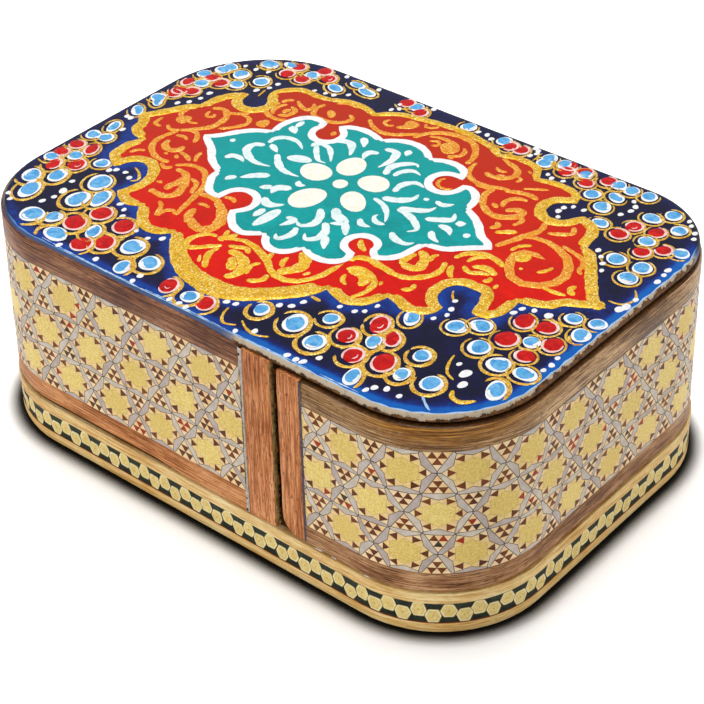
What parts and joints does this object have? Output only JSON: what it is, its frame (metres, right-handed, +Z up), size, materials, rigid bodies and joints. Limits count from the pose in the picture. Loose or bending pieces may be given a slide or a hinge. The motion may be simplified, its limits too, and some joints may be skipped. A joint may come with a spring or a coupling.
{
  "type": "dice box",
  "caption": "Small inlaid wooden box with rounded corners, a fixed painted lid and a rounded end cap that pulls out sideways as a drawer for dice.",
  "frame": {"origin": "centre of the base's underside, on the surface that the box stands on", "axes": "+X along the drawer's travel, out of the box; -Y the front, with the slit to the right of the middle; +Z up"},
  "size_m": [0.1006, 0.0706, 0.0383],
  "materials": {
    "core_wood": "bare, oiled",
    "tray_wood": "bare, sanded",
    "case_top_wood": "satin lacquer",
    "case_bottom_wood": "satin lacquer",
    "cap_strip_wood": "satin lacquer",
    "post_wood": "satin lacquer",
    "inlay_mosaic": "gloss lacquer",
    "base_pale_wood": "satin lacquer",
    "base_tan_wood": "satin lacquer",
    "base_green_ground": "satin lacquer",
    "base_hexagon_wood": "satin lacquer",
    "lid_paint": "gloss lacquer over paint",
    "felt": "pressed felt",
    "velvet": "short pile"
  },
  "bodies": {
    "case": {"base_board": "core_wood", "base_felt_pad": "felt", "base_bottom_strip": "base_tan_wood", "base_inlay_band": "base_green_ground", "base_hexagon_tiles": "base_hexagon_wood", "base_top_strip": "base_pale_wood", "case_wall": "core_wood", "case_bottom_strip": "case_bottom_wood", "case_khatam_sheet": "inlay_mosaic", "case_top_strip": "case_top_wood", "case_front_post": "post_wood", "case_back_post": "post_wood", "lid_board": "core_wood", "lid_panel": "lid_paint"},
    "drawer": {"cap_wall": "core_wood", "cap_bottom_strip": "cap_strip_wood", "cap_khatam_sheet": "inlay_mosaic", "cap_top_strip": "cap_strip_wood", "cap_front_post": "post_wood", "cap_back_post": "post_wood", "tray_rim_outer_half": "tray_wood", "tray_rim_inner_half": "tray_wood", "tray_floor": "tray_wood", "tray_floor_lining": "velvet", "tray_wall_lining": "velvet"}
  },
  "joints": [
    {"name": "drawer_slide", "type": "slide", "parent": "case", "child": "drawer", "axis": [1, 0, 0], "range_m": [0, 0.055]}
  ]
}
